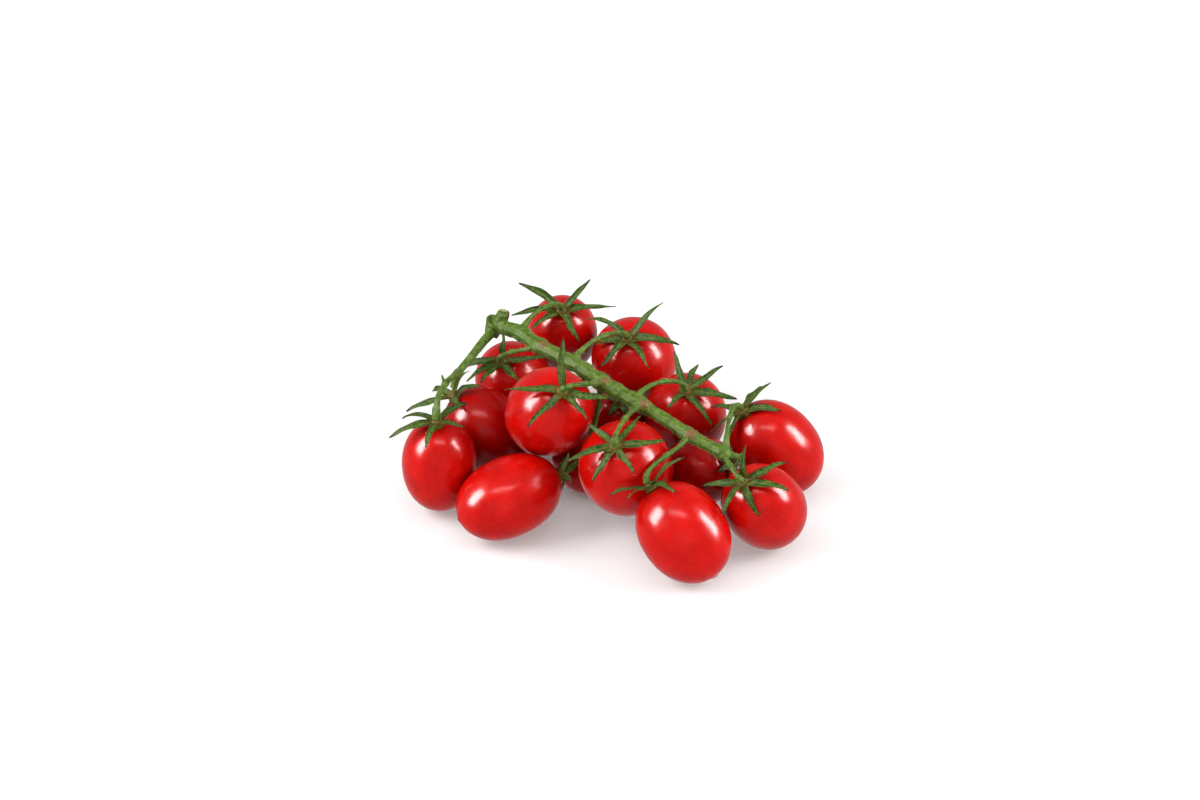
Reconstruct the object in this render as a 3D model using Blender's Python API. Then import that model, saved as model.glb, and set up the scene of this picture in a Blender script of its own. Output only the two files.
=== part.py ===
"""A picked truss of plum cherry tomatoes, lying on a flat surface.

Metres, +Z up. The origin is on the surface, under the middle of the truss. +X is the long way of the
pile, and -Y is the side that most stem ends face.
"""

import math

import bmesh
import bpy
import numpy as np
from mathutils import Vector

MM = 0.001

# What is taken from every place below, so that the origin comes under the middle of the truss.
MIDDLE = Vector((1.0, 13.33, 0))

# Each fruit: its centre, how many degrees its stem end points up, which way it points (degrees from
# +X towards +Y), its length, its width, and its sepals. A sepal is its direction round the fruit's
# axis, its length, how steeply it starts and how far it has bent down by its tip (degrees and mm).
FRUITS = {
    1: dict(centre=(-15.5, 67, 24.5), up=60, toward=-90, length=34, width=25, sepals=(
        (150, 17, 40, 40), (42, 14, 35, 35), (2, 18.5, 18, 26), (186, 17, 20, 30), (214, 12, 20, 50),
        (298, 13, 15, 50))),
    2: dict(centre=(10, 52, 23), up=58, toward=-106, length=33, width=29.6, sepals=(
        (152, 17, 78, 112), (39, 17, 30, 30), (350, 18, 25, 55), (305, 13, 15, 50), (225, 13, 15, 50),
        (180, 12, 5, 45))),
    3: dict(centre=(-32, 46.5, 17.5), up=55, toward=-113, length=34, width=27, sepals=(
        (58, 14, 72, 12), (184, 17.5, 25, 55), (220, 14.5, 47, 38), (248, 14, 62, 46),
        (307, 12, 40, 50), (0, 17, 14, 40))),
    4: dict(centre=(-40, 19, 15.5), up=50, toward=176, length=35, width=26, sepals=(
        (190, 16, 40, 35), (285, 10, 15, 50), (130, 13, 30, 40), (62, 12, 22, 50), (343, 11.5, 17, 48))),
    5: dict(centre=(-55.5, -3, 17.2), up=86, toward=-100, length=34.5, width=25.6, sepals=(
        (195, 16, 5, 30), (160, 12, 30, 80), (40, 12, 30, 50), (318, 13, 35, 30), (253, 11, 15, 50),
        (95, 11, 30, 50))),
    6: dict(centre=(-19, 3, 34.2), up=54, toward=-64, length=35, width=29, sepals=(
        (100, 16.5, 40, 25), (180, 18, 5, 30), (229, 16, 5, 50), (312, 12, 20, 50), (348, 15, 25, 25))),
    7: dict(centre=(-32, -16.8, 13.9), up=9, toward=28, length=37, width=26.5, sepals=(
        (75, 6, 20, 40), (140, 6, 25, 40), (205, 5.5, 60, 10), (265, 9, 45, 40), (340, 6, 30, 40))),
    8: dict(centre=(6.6, -14, 23.6), up=57, toward=-111, length=35, width=31, sepals=(
        (136, 12, 20, 50), (52, 13.5, 10, 40), (2, 16, 16, 45), (299, 11.5, 25, 50), (234, 13.5, 15, 50),
        (195, 16, 15, 25))),
    9: dict(centre=(3, 29, 13.3), up=58, toward=-78, length=28.5, width=21, sepals=(
        (12, 5, 19, 50), (86, 4.5, 13, 50), (157, 5, 21, 50), (230, 5.5, 12, 45), (301, 5.5, 17, 55))),
    10: dict(centre=(27.4, 25.5, 17.2), up=62, toward=-95, length=35, width=28, sepals=(
        (105, 13.5, 30, 30), (28, 14.5, 25, 25), (350, 17, 10, 20), (306, 15.5, 10, 50),
        (240, 12, 50, 40), (68, 12, 15, 50))),
    11: dict(centre=(57.6, 7, 17), up=53, toward=-177, length=37, width=28.5, sepals=(
        (145, 13, 30, 30), (188, 13.5, 25, 45), (228, 12, 15, 50), (55, 11, 20, 50), (22, 12.5, 30, 50),
        (343, 12.5, 0, 50))),
    12: dict(centre=(51.6, -25, 16), up=55, toward=-138, length=34.5, width=26.5, sepals=(
        (60, 12, 62, 25), (21, 15, 5, 35), (345, 15, 5, 65), (288, 12, 5, 65), (246, 14, 45, 45),
        (177, 13, 30, 45))),
    13: dict(centre=(24.8, -39.4, 16.3), up=46, toward=147, length=35, width=28, sepals=(
        (228, 12, 30, 30), (185, 12.5, 45, 40), (332, 11, 24, 5), (10, 14, 22, 35),
        (300, 12.5, 5, 60))),
    14: dict(centre=(30.3, -1.8, 12.8), up=38, toward=-35, length=31, width=24, sepals=(
        (10, 7, 8, 50), (82, 7, 4, 50), (153, 6, 11, 50), (226, 5.5, 9, 42), (297, 7, 7, 50))),
    15: dict(centre=(-8.2, 10, 10.9), up=25, toward=112, length=27, width=20.5, sepals=(
        (30, 6, 12, 50), (104, 6.5, 8, 50), (175, 6, 14, 50), (249, 5.5, 7, 50), (320, 6.5, 11, 50))),
}

# The main stalk: points along its middle from the picked end, and its radius at both ends.
RACHIS = (
    (-38.5, 45, 41.5), (-34, 41, 43), (-29, 36.5, 44), (-22.3, 28, 44), (-11.1, 18.2, 43.8),
    (-1.3, 7.5, 43), (9.2, 0.3, 40.6), (20.3, -6.5, 37), (26.7, -12, 35.6), (38.6, -19, 32.8),
    (43.4, -21, 32.8),
)
RACHIS_RADIUS = (2.55, 1.95)
RACHIS_END = 1.1
RACHIS_SIDES = 9
RACHIS_STEP = 3.6
NODE_SWELLING = 0.6
NODE_LENGTH = 2.6

# The knob at the picked end, the snapped stub that rises from it, the side branch that carries two
# fruits, and the small pointed bract where the first of those fruits' stalks bends over.
KNOB = ((-39.8, 42.6, 39), (-38.4, 44.2, 41.5), (-37.4, 44.2, 44))
KNOB_RADIUS = (2.3, 3.2)
STUB = ((-37.2, 44.2, 41.5), (-36, 44, 45), (-34.9, 44, 47.9))
STUB_RADIUS = (2.7, 2.2)
BRANCH = ((-38, 44.5, 41), (-42, 38, 39.5), (-46.6, 29, 38), (-50.2, 21.5, 37), (-51.6, 19, 33))
BRANCH_RADIUS = (1.7, 1.15)
BRACT = ((-53.4, 7.2, 42), (-53.9, 7.4, 44), (-54.4, 7.6, 46.2))
BRACT_RADIUS = (0.9, 0.25)

# Each fruit's own stalk: where it leaves the main stalk or the side branch, the direction it
# leaves in, and how far it runs before it turns at each end, or else the points it passes through.
PEDICELS = {
    1: dict(root=(-29, 36.5, 44), leaves=(0.3, 0.2, 1.0), reach=(9, 8)),
    2: dict(root=(-11.1, 18.2, 43.8), leaves=(0.5, 0.4, 1.0), reach=(10, 8)),
    3: dict(root=(-22.3, 28, 44), leaves=(-0.7, -0.6, 0.2), reach=(7, 6)),
    5: dict(root=(-49.6, 22.4, 37.4), thick=1.3, through=((-51.4, 14.5, 40.6), (-53.6, 7, 42.4), (-55.3, 0.5, 42),
                                               (-55.7, -3.2, 39.6))),
    6: dict(root=(-1.3, 7.5, 43), leaves=(-0.5, -0.8, 0.4), reach=(7, 6)),
    7: dict(root=(-1.8, 8, 43), leaves=(0, 0.05, -1.0), reach=(14, 9)),
    8: dict(root=(11.5, -1.2, 40), leaves=(-0.5, -0.8, 0.3), reach=(8, 7)),
    9: dict(root=(4, 4, 41.8), leaves=(-0.1, 0.7, -0.8), reach=(5, 4)),
    10: dict(root=(9.2, 0.3, 40.6), leaves=(0.6, 0.5, 0.8), reach=(10, 8)),
    11: dict(root=(38.6, -19, 32.8), leaves=(0.1, 0.5, 1.0), reach=(8, 7)),
    12: dict(root=(38.6, -19, 32.8), leaves=(0.0, -1.0, 0.2), reach=(6, 5)),
    13: dict(root=(26.7, -12, 35.6), leaves=(-0.2, -1.0, -0.2), reach=(8, 7)),
    14: dict(root=(43.2, -20.8, 32.5), leaves=(0.5, 0.4, -0.3), reach=(3, 4)),
    15: dict(root=(-7, 13.5, 43.5), leaves=(0.1, 0.4, -1.0), reach=(8, 5)),
}
PEDICEL_RADIUS = 0.8
PEDICEL_ROOT = 0.6
PEDICEL_KNUCKLE = 0.3
PEDICEL_END = 0.5
PEDICEL_SIDES = 7
PEDICEL_STEP = 2.2
STEM_GAP = 1.95

FRUIT_SIDES = 14
FRUIT_RINGS = 10
FRUIT_FULLNESS = 2.15
DIMPLE_DEPTH = 1.1
DIMPLE_WIDTH = 2.4

DISC_RADIUS = 2.5
DISC_HEIGHT = 1.3
DISC_SIDES = 8
SEPAL_START = 0.9
SEPAL_SPREAD = 1.7
SEPAL_LIFT = 0.75
SEPAL_WIDTH = 2.7
SEPAL_THICKNESS = 0.66
SEPAL_FOLD = 0.22
SEPAL_STATIONS = 5


def clear_scene():
    for thing in list(bpy.data.objects):
        bpy.data.objects.remove(thing, do_unlink=True)


def make_material(name, colour, roughness):
    material = bpy.data.materials.new(name)
    material.use_nodes = True
    shader = material.node_tree.nodes["Principled BSDF"]
    shader.inputs["Base Color"].default_value = (*colour, 1)
    shader.inputs["Roughness"].default_value = roughness
    material.diffuse_color = (*colour, 1)
    return material


def fruit_axes(fruit):
    """The fruit's two cross directions and its axis, which points to the stem end."""
    up, toward = math.radians(fruit["up"]), math.radians(fruit["toward"])
    axis = np.array((math.cos(up) * math.cos(toward), math.cos(up) * math.sin(toward), math.sin(up)))
    right = np.array((1.0, 0, 0)) - axis[0] * axis
    right /= np.linalg.norm(right)
    return right, np.cross(axis, right), axis


def stem_point(fruit, height):
    """The point on the fruit's axis that is this far above its stem end."""
    return np.array(fruit["centre"]) + fruit_axes(fruit)[2] * (fruit["length"] / 2 + height)


def loft(bm, rings, start=None, end=None):
    """Joins each ring of points to the next, and closes both ends, with a point where one is given."""
    rows = [[bm.verts.new((Vector(point) - MIDDLE) * MM) for point in ring] for ring in rings]
    count = len(rows[0])
    for row, following in zip(rows, rows[1:]):
        for i in range(count):
            j = (i + 1) % count
            bm.faces.new((row[i], row[j], following[j], following[i]))
    for row, point in ((rows[0], start), (rows[-1], end)):
        if point is None:
            bm.faces.new(row)
            continue
        pole = bm.verts.new((Vector(point) - MIDDLE) * MM)
        for i in range(count):
            bm.faces.new((row[i], row[(i + 1) % count], pole))


def finish_object(name, bm, material, collection=None):
    bmesh.ops.recalc_face_normals(bm, faces=bm.faces)
    mesh = bpy.data.meshes.new(name)
    bm.to_mesh(mesh)
    bm.free()
    if material:
        mesh.materials.append(material)
    mesh.shade_smooth()
    made = bpy.data.objects.new(name, mesh)
    (collection or bpy.context.scene.collection).objects.link(made)
    return made


def smooth_path(points, step):
    """Points about a step apart on the Catmull-Rom curve through the given ones."""
    points = np.array(points, float)
    ends = np.vstack((2 * points[0] - points[1], points, 2 * points[-1] - points[-2]))
    found = []
    for a, b, c, d in zip(ends, ends[1:], ends[2:], ends[3:]):
        count = max(1, round(np.linalg.norm(c - b) / step))
        for t in np.arange(count) / count:
            found.append(0.5 * (2 * b + (c - a) * t + (2 * a - 5 * b + 4 * c - d) * t**2
                                + (3 * b - a - 3 * c + d) * t**3))
    return np.array(found + [points[-1]])


def bezier_path(start, leave, arrive, end, step):
    count = max(5, round(np.linalg.norm(np.subtract(end, start)) * 1.15 / step))
    t = np.linspace(0, 1, count + 1)[:, None]
    return ((1 - t)**3 * start + 3 * (1 - t)**2 * t * leave + 3 * (1 - t) * t**2 * arrive + t**3 * end)


def tube_rings(path, radii, sides):
    """Round sections along a path, turned as little as possible from one to the next."""
    tangents = np.gradient(path, axis=0)
    tangents /= np.linalg.norm(tangents, axis=1)[:, None]
    side = np.cross(tangents[0], (0.0, 0.0, 1.0))
    if np.linalg.norm(side) < 0.1:
        side = np.cross(tangents[0], (0.0, 1.0, 0.0))
    angles = np.arange(sides) * math.tau / sides
    rings = []
    for centre, tangent, radius in zip(path, tangents, radii):
        side = side - tangent * (side @ tangent)
        side /= np.linalg.norm(side)
        other = np.cross(tangent, side)
        rings.append(centre + radius * (np.outer(np.cos(angles), side) + np.outer(np.sin(angles), other)))
    return rings


def distance_along(path):
    return np.concatenate(([0], np.cumsum(np.linalg.norm(np.diff(path, axis=0), axis=1))))


def joined(name, pieces, collection, material):
    """One body: the first piece with all the others in the collection joined to it."""
    first = pieces[0]
    collection.objects.unlink(first)
    bpy.context.scene.collection.objects.link(first)
    union = first.modifiers.new("union", "BOOLEAN")
    union.operation = "UNION"
    union.operand_type = "COLLECTION"
    union.collection = collection
    union.solver = "EXACT"
    graph = bpy.context.evaluated_depsgraph_get()
    mesh = bpy.data.meshes.new_from_object(first.evaluated_get(graph))
    for piece in pieces:
        bpy.data.objects.remove(piece, do_unlink=True)
    bpy.data.collections.remove(collection)
    mesh.name = name
    mesh.materials.clear()
    mesh.materials.append(material)
    mesh.shade_smooth()
    made = bpy.data.objects.new(name, mesh)
    bpy.context.scene.collection.objects.link(made)
    return made


def parts_collection(name):
    collection = bpy.data.collections.new(name)
    bpy.context.scene.collection.children.link(collection)
    return collection


def add_tube(name, path, radii, sides, collection):
    bm = bmesh.new()
    loft(bm, tube_rings(path, radii, sides))
    return finish_object(name, bm, None, collection)


def rachis_tube(collection):
    """The main stalk, thicker at the picked end and swollen where each fruit's stalk leaves it."""
    path = smooth_path(RACHIS, RACHIS_STEP)
    share = distance_along(path) / distance_along(path)[-1]
    radii = RACHIS_RADIUS[0] + (RACHIS_RADIUS[1] - RACHIS_RADIUS[0]) * share
    for pedicel in PEDICELS.values():
        away = np.linalg.norm(path - np.array(pedicel["root"]), axis=1)
        radii = radii + NODE_SWELLING * np.exp(-(away / NODE_LENGTH)**2)
    radii = np.minimum(radii, RACHIS_RADIUS[0] + NODE_SWELLING)
    radii = radii + (RACHIS_END - radii) * np.clip((share - 0.93) / 0.06, 0, 1)
    return add_tube("rachis", path, radii, RACHIS_SIDES, collection)


def tapered_tube(name, points, radius, sides, collection):
    path = smooth_path(points, PEDICEL_STEP)
    share = distance_along(path) / distance_along(path)[-1]
    return add_tube(name, path, radius[0] + (radius[1] - radius[0]) * share, sides, collection)


def pedicel_tube(number, pedicel, collection):
    """A fruit's stalk: wide at its root, a knuckle half way, and a flared end over the calyx."""
    axis = fruit_axes(FRUITS[number])[2]
    root = np.array(pedicel["root"], float)
    end = stem_point(FRUITS[number], STEM_GAP)
    if "through" in pedicel:
        path = smooth_path((root, *pedicel["through"], end), PEDICEL_STEP)
    else:
        leaves = np.array(pedicel["leaves"]) / np.linalg.norm(pedicel["leaves"])
        path = bezier_path(root, root + leaves * pedicel["reach"][0], end + axis * pedicel["reach"][1], end,
                           PEDICEL_STEP)
    share = distance_along(path) / distance_along(path)[-1]
    radii = (PEDICEL_RADIUS * pedicel.get("thick", 1) + PEDICEL_ROOT * np.exp(-(share / 0.16)**2)
             + PEDICEL_KNUCKLE * np.exp(-((share - 0.5) / 0.07)**2)
             + PEDICEL_END * np.exp(-((share - 1) / 0.12)**2))
    return add_tube(f"pedicel_{number}", path, radii, PEDICEL_SIDES, collection)


def make_stem(material):
    collection = parts_collection("stem_pieces")
    pieces = [rachis_tube(collection)]
    pieces.append(tapered_tube("knob", KNOB, KNOB_RADIUS, RACHIS_SIDES, collection))
    pieces.append(tapered_tube("stub", STUB, STUB_RADIUS, PEDICEL_SIDES, collection))
    pieces.append(tapered_tube("branch", BRANCH, BRANCH_RADIUS, PEDICEL_SIDES, collection))
    pieces.append(tapered_tube("bract", BRACT, BRACT_RADIUS, PEDICEL_SIDES, collection))
    for number, pedicel in PEDICELS.items():
        pieces.append(pedicel_tube(number, pedicel, collection))
    return joined("vine_stem", pieces, collection, material)


def fruit_profile(fruit):
    """Height and radius down the fruit's side: a full ellipse with a dimple at the stem end."""
    turn = np.linspace(0, math.pi, FRUIT_RINGS + 2)[1:-1]
    height = np.cos(turn)
    radius = fruit["width"] / 2 * (1 - np.abs(height)**FRUIT_FULLNESS)**0.5
    height = height * fruit["length"] / 2
    dimple = DIMPLE_DEPTH * np.exp(-(radius / DIMPLE_WIDTH)**2)
    return np.where(height > 0, height - dimple, height), radius


def make_tomato(number, fruit, material):
    right, back, axis = fruit_axes(fruit)
    centre = np.array(fruit["centre"])
    angles = np.arange(FRUIT_SIDES) * math.tau / FRUIT_SIDES
    ring = np.outer(np.cos(angles), right) + np.outer(np.sin(angles), back)
    rings = [centre + axis * h + ring * r for h, r in zip(*fruit_profile(fruit))]
    bm = bmesh.new()
    loft(bm, rings, centre + axis * (fruit["length"] / 2 - DIMPLE_DEPTH), centre - axis * fruit["length"] / 2)
    rest_flat(bm)
    return finish_object(f"tomato_{number:02d}", bm, material)


def rest_flat(bm):
    """Cuts what would be under the surface away flat, so that the fruit rests on a small flat spot."""
    cut = bmesh.ops.bisect_plane(bm, geom=bm.verts[:] + bm.edges[:] + bm.faces[:], plane_co=(0, 0, 0),
                                 plane_no=(0, 0, -1), clear_outer=True)
    edges = [item for item in cut["geom_cut"] if isinstance(item, bmesh.types.BMEdge)]
    if edges:
        bmesh.ops.contextual_create(bm, geom=edges)


def sepal_rings(fruit, sepal):
    """Sections of one sepal: narrow, folded up along its middle, widest near its root."""
    direction, length, rise, curl = sepal
    right, back, axis = fruit_axes(fruit)
    out = math.cos(math.radians(direction)) * right + math.sin(math.radians(direction)) * back
    side = np.cross(axis, out)
    share = np.linspace(0, 1, SEPAL_STATIONS)
    slope = np.radians(rise - curl * share)
    middle = (slope[1:] + slope[:-1]) / 2
    step = length / (SEPAL_STATIONS - 1)
    start = SEPAL_START + SEPAL_SPREAD * (rise / 90)**2
    along = start + np.concatenate(([0], np.cumsum(np.cos(middle)) * step))
    height = SEPAL_LIFT + np.concatenate(([0], np.cumsum(np.sin(middle)) * step))
    width = SEPAL_WIDTH / 2 * (0.8 + 1.3 * share - 1.95 * share**2) + 0.05
    rings = []
    for s, a, h, w in zip(slope, along, height, width):
        normal = math.cos(s) * axis - math.sin(s) * out
        centre = stem_point(fruit, h) + out * a
        edge = normal * w * SEPAL_FOLD
        under = normal * SEPAL_THICKNESS
        rings.append([centre - side * w + edge, centre, centre + side * w + edge,
                      centre + side * w + edge - under, centre - under, centre - side * w + edge - under])
    return rings


def make_calyx(number, fruit, material):
    collection = parts_collection("calyx_pieces")
    right, back, axis = fruit_axes(fruit)
    angles = np.arange(DISC_SIDES) * math.tau / DISC_SIDES
    ring = np.outer(np.cos(angles), right) + np.outer(np.sin(angles), back)
    levels = ((0, 0.85), (0.35, 1.0), (0.75, 0.8), (1, 0.45))
    bm = bmesh.new()
    loft(bm, [stem_point(fruit, h * DISC_HEIGHT) + ring * DISC_RADIUS * r for h, r in levels])
    pieces = [finish_object("disc", bm, None, collection)]
    for index, sepal in enumerate(fruit["sepals"]):
        bm = bmesh.new()
        loft(bm, sepal_rings(fruit, sepal))
        pieces.append(finish_object(f"sepal_{index}", bm, None, collection))
    return joined(f"calyx_{number:02d}", pieces, collection, material)


def main():
    clear_scene()
    red = make_material("tomato_skin", (0.62, 0.012, 0.008), 0.18)
    green = make_material("stem_green", (0.16, 0.28, 0.05), 0.55)
    leaf = make_material("sepal_green", (0.07, 0.17, 0.03), 0.6)
    make_stem(green)
    for number, fruit in FRUITS.items():
        make_tomato(number, fruit, red)
        make_calyx(number, fruit, leaf)


main()
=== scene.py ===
import bmesh
import bpy
import math
import numpy as np
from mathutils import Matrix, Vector


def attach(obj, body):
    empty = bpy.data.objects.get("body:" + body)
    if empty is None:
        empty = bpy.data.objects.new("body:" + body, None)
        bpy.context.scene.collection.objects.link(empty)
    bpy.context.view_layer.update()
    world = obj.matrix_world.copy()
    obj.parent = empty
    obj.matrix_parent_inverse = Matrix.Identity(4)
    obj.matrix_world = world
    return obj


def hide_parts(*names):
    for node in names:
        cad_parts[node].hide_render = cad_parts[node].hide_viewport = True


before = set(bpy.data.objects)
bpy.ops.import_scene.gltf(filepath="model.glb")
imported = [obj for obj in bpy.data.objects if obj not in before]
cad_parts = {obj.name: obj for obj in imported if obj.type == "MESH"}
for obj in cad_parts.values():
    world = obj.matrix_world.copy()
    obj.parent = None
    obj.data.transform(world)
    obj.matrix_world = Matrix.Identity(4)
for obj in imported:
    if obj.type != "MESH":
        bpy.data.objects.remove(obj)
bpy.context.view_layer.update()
print("frame loaded")

mm = 0.001
middle = np.array((1.0, 13.33, 0.0))  # taken from every place below, which are in millimetres


def makePiece(name, points, faces, material, attributes=None):
    # points are in millimetres before the middle is taken off
    mesh = bpy.data.meshes.new(name)
    mesh.from_pydata(((np.asarray(points) - middle) * mm).tolist(), [], faces)
    shell = bmesh.new()
    shell.from_mesh(mesh)
    bmesh.ops.recalc_face_normals(shell, faces=shell.faces)
    shell.to_mesh(mesh)
    shell.free()
    addAttributes(mesh, attributes or {})
    mesh.materials.append(material)
    mesh.shade_smooth()
    piece = bpy.data.objects.new(name, mesh)
    bpy.context.scene.collection.objects.link(piece)
    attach(piece, "root")
    return piece


def addAttributes(mesh, attributes):
    for name, values in attributes.items():
        values = np.asarray(values, dtype=np.float32)
        kind, field = ("FLOAT", "value") if values.ndim == 1 else ("FLOAT_VECTOR", "vector")
        mesh.attributes.new(name, kind, "POINT").data.foreach_set(field, values.ravel())


def bandFaces(rows, columns, wrap, first=0):
    # each face joins (row, column) to the next row and the next column, which wraps round if asked
    across = columns if wrap else columns - 1
    row, column = np.meshgrid(np.arange(rows - 1), np.arange(across), indexing="ij")
    beside = (column + 1) % columns
    corners = (row * columns + column, (row + 1) * columns + column,
               (row + 1) * columns + beside, row * columns + beside)
    return (first + np.stack(corners, -1).reshape(-1, 4)).tolist()


def fanFaces(ring, pole):
    return np.stack((ring, np.roll(ring, -1), np.full(len(ring), pole)), -1).tolist()


def unit(vectors):
    return vectors / np.linalg.norm(vectors, axis=-1, keepdims=True)


def evenPath(path, step):
    # the same curve with points at equal distances along it
    along = np.concatenate(([0], np.cumsum(np.linalg.norm(np.diff(path, axis=0), axis=1))))
    stops = np.linspace(0, along[-1], max(4, int(along[-1] / step) + 1))
    return np.stack([np.interp(stops, along, path[:, k]) for k in range(3)], -1), stops


def curveThrough(points, step):
    # Catmull-Rom from b to c: half of 2b + (c - a)t + (2a - 5b + 4c - d)t^2 + (3b - a - 3c + d)t^3
    points = np.array(points, float)
    ends = np.vstack((2 * points[0] - points[1], points, 2 * points[-1] - points[-2]))
    a, b, c, d = (ends[k:len(ends) - 3 + k, None] for k in range(4))
    t = (np.arange(16) / 16)[None, :, None]
    curve = 0.5 * (2 * b + (c - a) * t + (2 * a - 5 * b + 4 * c - d) * t**2 + (3 * b - a - 3 * c + d) * t**3)
    return evenPath(np.vstack((curve.reshape(-1, 3), points[-1:])), step)


def curveBetween(start, leave, arrive, end, step):
    # Bezier: (1-t)^3 start + 3(1-t)^2 t leave + 3(1-t) t^2 arrive + t^3 end
    t = np.linspace(0, 1, 80)[:, None]
    return evenPath((1 - t)**3 * start + 3 * (1 - t)**2 * t * leave + 3 * (1 - t) * t**2 * arrive + t**3 * end,
                    step)


def wobble(points, scale, seed):
    # three sine waves in slanted directions, multiplied in pairs: a smooth value between -1 and 1
    turn = np.random.default_rng(seed).uniform(0, 6.28, 6)
    x, y, z = (points * scale).T
    return (np.sin(x + 0.6 * y + turn[0]) * np.sin(y - 0.7 * z + turn[1])
            + np.sin(1.7 * z + 0.8 * x + turn[2]) * np.sin(1.3 * x - 1.1 * y + turn[3])
            + np.sin(2.3 * y + 1.2 * z + turn[4]) * np.sin(2.1 * z - 1.9 * x + turn[5])) / 2.2


def newMaterial(name):
    material = bpy.data.materials.new(name)
    material.use_nodes = True
    return material, material.node_tree, material.node_tree.nodes["Principled BSDF"]


def put(tree, kind, settings=None, **inputs):
    # one node, with its settings, and its inputs as plain values or as sockets to link: i0 is the first one
    made = tree.nodes.new("ShaderNode" + kind)
    for key, value in (settings or {}).items():
        setattr(made, key, value)
    for key, value in inputs.items():
        numbered = key[0] == "i" and key[1:].isdigit()
        socket = made.inputs[int(key[1:]) if numbered else key.replace("_", " ")]
        if isinstance(value, bpy.types.NodeSocket):
            tree.links.new(value, socket)
        else:
            socket.default_value = value
    return made


def attribute(tree, name, field="Fac"):
    return put(tree, "Attribute", {"attribute_name": name}).outputs[field]


def noise(tree, place, scale, detail=2.0, stretch=None):
    if stretch:
        place = put(tree, "Mapping", Vector=place, Scale=stretch).outputs[0]
    return put(tree, "TexNoise", Vector=place, Scale=scale, Detail=detail).outputs["Fac"]


def ramp(tree, value, stops):
    made = put(tree, "ValToRGB", Fac=value)
    band = made.color_ramp.elements
    while len(band) < len(stops):
        band.new(0.5)
    for spot, (position, colour) in zip(band, stops):
        spot.position = position
        spot.color = (*colour, 1) if len(colour) == 3 else colour
    return made.outputs["Color"]


def rangeOf(tree, value, low, high, toLow=0.0, toHigh=1.0):
    return put(tree, "MapRange", {"interpolation_type": "SMOOTHSTEP"}, Value=value, From_Min=low, From_Max=high,
               To_Min=toLow, To_Max=toHigh).outputs[0]


def blendColour(tree, share, first, second):
    made = tree.nodes.new("ShaderNodeMix")
    made.data_type = "RGBA"
    for name, value in (("Factor", share), ("A", first), ("B", second)):
        socket = made.inputs[name]
        if isinstance(value, bpy.types.NodeSocket):
            tree.links.new(value, socket)
        else:
            socket.default_value = value if isinstance(value, float) else (*value, 1)
    return made.outputs["Result"]


def sums(tree, operation, first, second):
    return put(tree, "Math", {"operation": operation}, i0=first, i1=second).outputs[0]


def softened(shader, finish):
    # the dull shine and the fine down of green parts
    shader.inputs["Specular IOR Level"].default_value = finish["specular"]
    shader.inputs["Sheen Weight"].default_value = finish["sheen"]
    shader.inputs["Sheen Roughness"].default_value = finish["sheenRoughness"]
    shader.inputs["Sheen Tint"].default_value = finish["sheenTint"]


def bumped(tree, shader, height, strength, distance):
    bump = put(tree, "Bump", Height=height, Strength=strength, Distance=distance)
    tree.links.new(bump.outputs["Normal"], shader.inputs["Normal"])


skin = {
    "deepRed": (0.335, 0.0022, 0.001), "brightRed": (0.435, 0.0045, 0.002), "streak": (0.51, 0.018, 0.006),
    "scar": (0.10, 0.035, 0.012), "innerShadeRed": (0.20, 0.001, 0.001), "collar": (0.44, 0.05, 0.01),
    "roughness": (0.20, 0.26), "ior": 1.34, "bump": (0.16, 0.0006),
    "depth": 0.06, "depthColour": (1.0, 0.12, 0.06), "depthScale": 0.003,
    "patches": 0.16, "streaks": 1.1, "dots": 0.9, "gloss": 0.5, "pores": 2.4, "dents": 0.22,
}


def skinMaterial():
    material, tree, shader = newMaterial("ripeSkin")
    place = attribute(tree, "fruitPlace", "Vector")
    share = attribute(tree, "fromStem")
    patches = noise(tree, place, skin["patches"], 3.0)
    patches = ramp(tree, patches, ((0.32, skin["deepRed"]), (0.68, skin["brightRed"])))
    streaks = noise(tree, place, skin["streaks"], 3.0, stretch=(1.0, 1.0, 0.09))
    colour = blendColour(tree, rangeOf(tree, streaks, 0.5, 0.8, 0.0, 0.35), patches, skin["streak"])
    dots = put(tree, "TexVoronoi", Vector=place, Scale=skin["dots"]).outputs["Distance"]
    colour = blendColour(tree, rangeOf(tree, dots, 0.13, 0.05, 0.0, 0.3), colour, skin["streak"])
    colour = blendColour(tree, rangeOf(tree, share, 0.09, 0.03, 0.0, 0.5), colour, skin["collar"])
    colour = blendColour(tree, rangeOf(tree, share, 0.972, 0.985, 0.0, 0.85), colour, skin["scar"])
    # painted shade: the fruits deep inside the truss are blended towards a darker red
    colour = blendColour(tree, attribute(tree, "innerShade"), colour, skin["innerShadeRed"])
    tree.links.new(colour, shader.inputs["Base Color"])
    gloss = noise(tree, place, skin["gloss"], 3.0)
    tree.links.new(rangeOf(tree, gloss, 0.3, 0.7, *skin["roughness"]), shader.inputs["Roughness"])
    pores = sums(tree, "MULTIPLY", noise(tree, place, skin["pores"], 3.0), 0.03)
    bumped(tree, shader, sums(tree, "ADD", pores, noise(tree, place, skin["dents"], 1.0)), *skin["bump"])
    shader.inputs["Subsurface Weight"].default_value = skin["depth"]
    shader.inputs["Subsurface Radius"].default_value = skin["depthColour"]
    shader.inputs["Subsurface Scale"].default_value = skin["depthScale"]
    shader.inputs["IOR"].default_value = skin["ior"]
    return material


stalkFinish = {
    "dark": (0.036, 0.074, 0.008), "mid": (0.072, 0.126, 0.014), "light": (0.145, 0.195, 0.034),
    "speck": (0.24, 0.27, 0.10), "scar": (0.16, 0.085, 0.034), "torn": (0.30, 0.29, 0.14),
    "tornEdge": (0.12, 0.035, 0.012), "roughness": (0.42, 0.62), "bump": (0.5, 0.00018), "specular": 0.16,
    "sheen": 0.04, "sheenRoughness": 0.4, "sheenTint": (0.85, 0.95, 0.7, 1),
    "mottle": 520.0, "specks": 1500.0, "blotches": 900.0, "grain": 1500.0,
}


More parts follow.
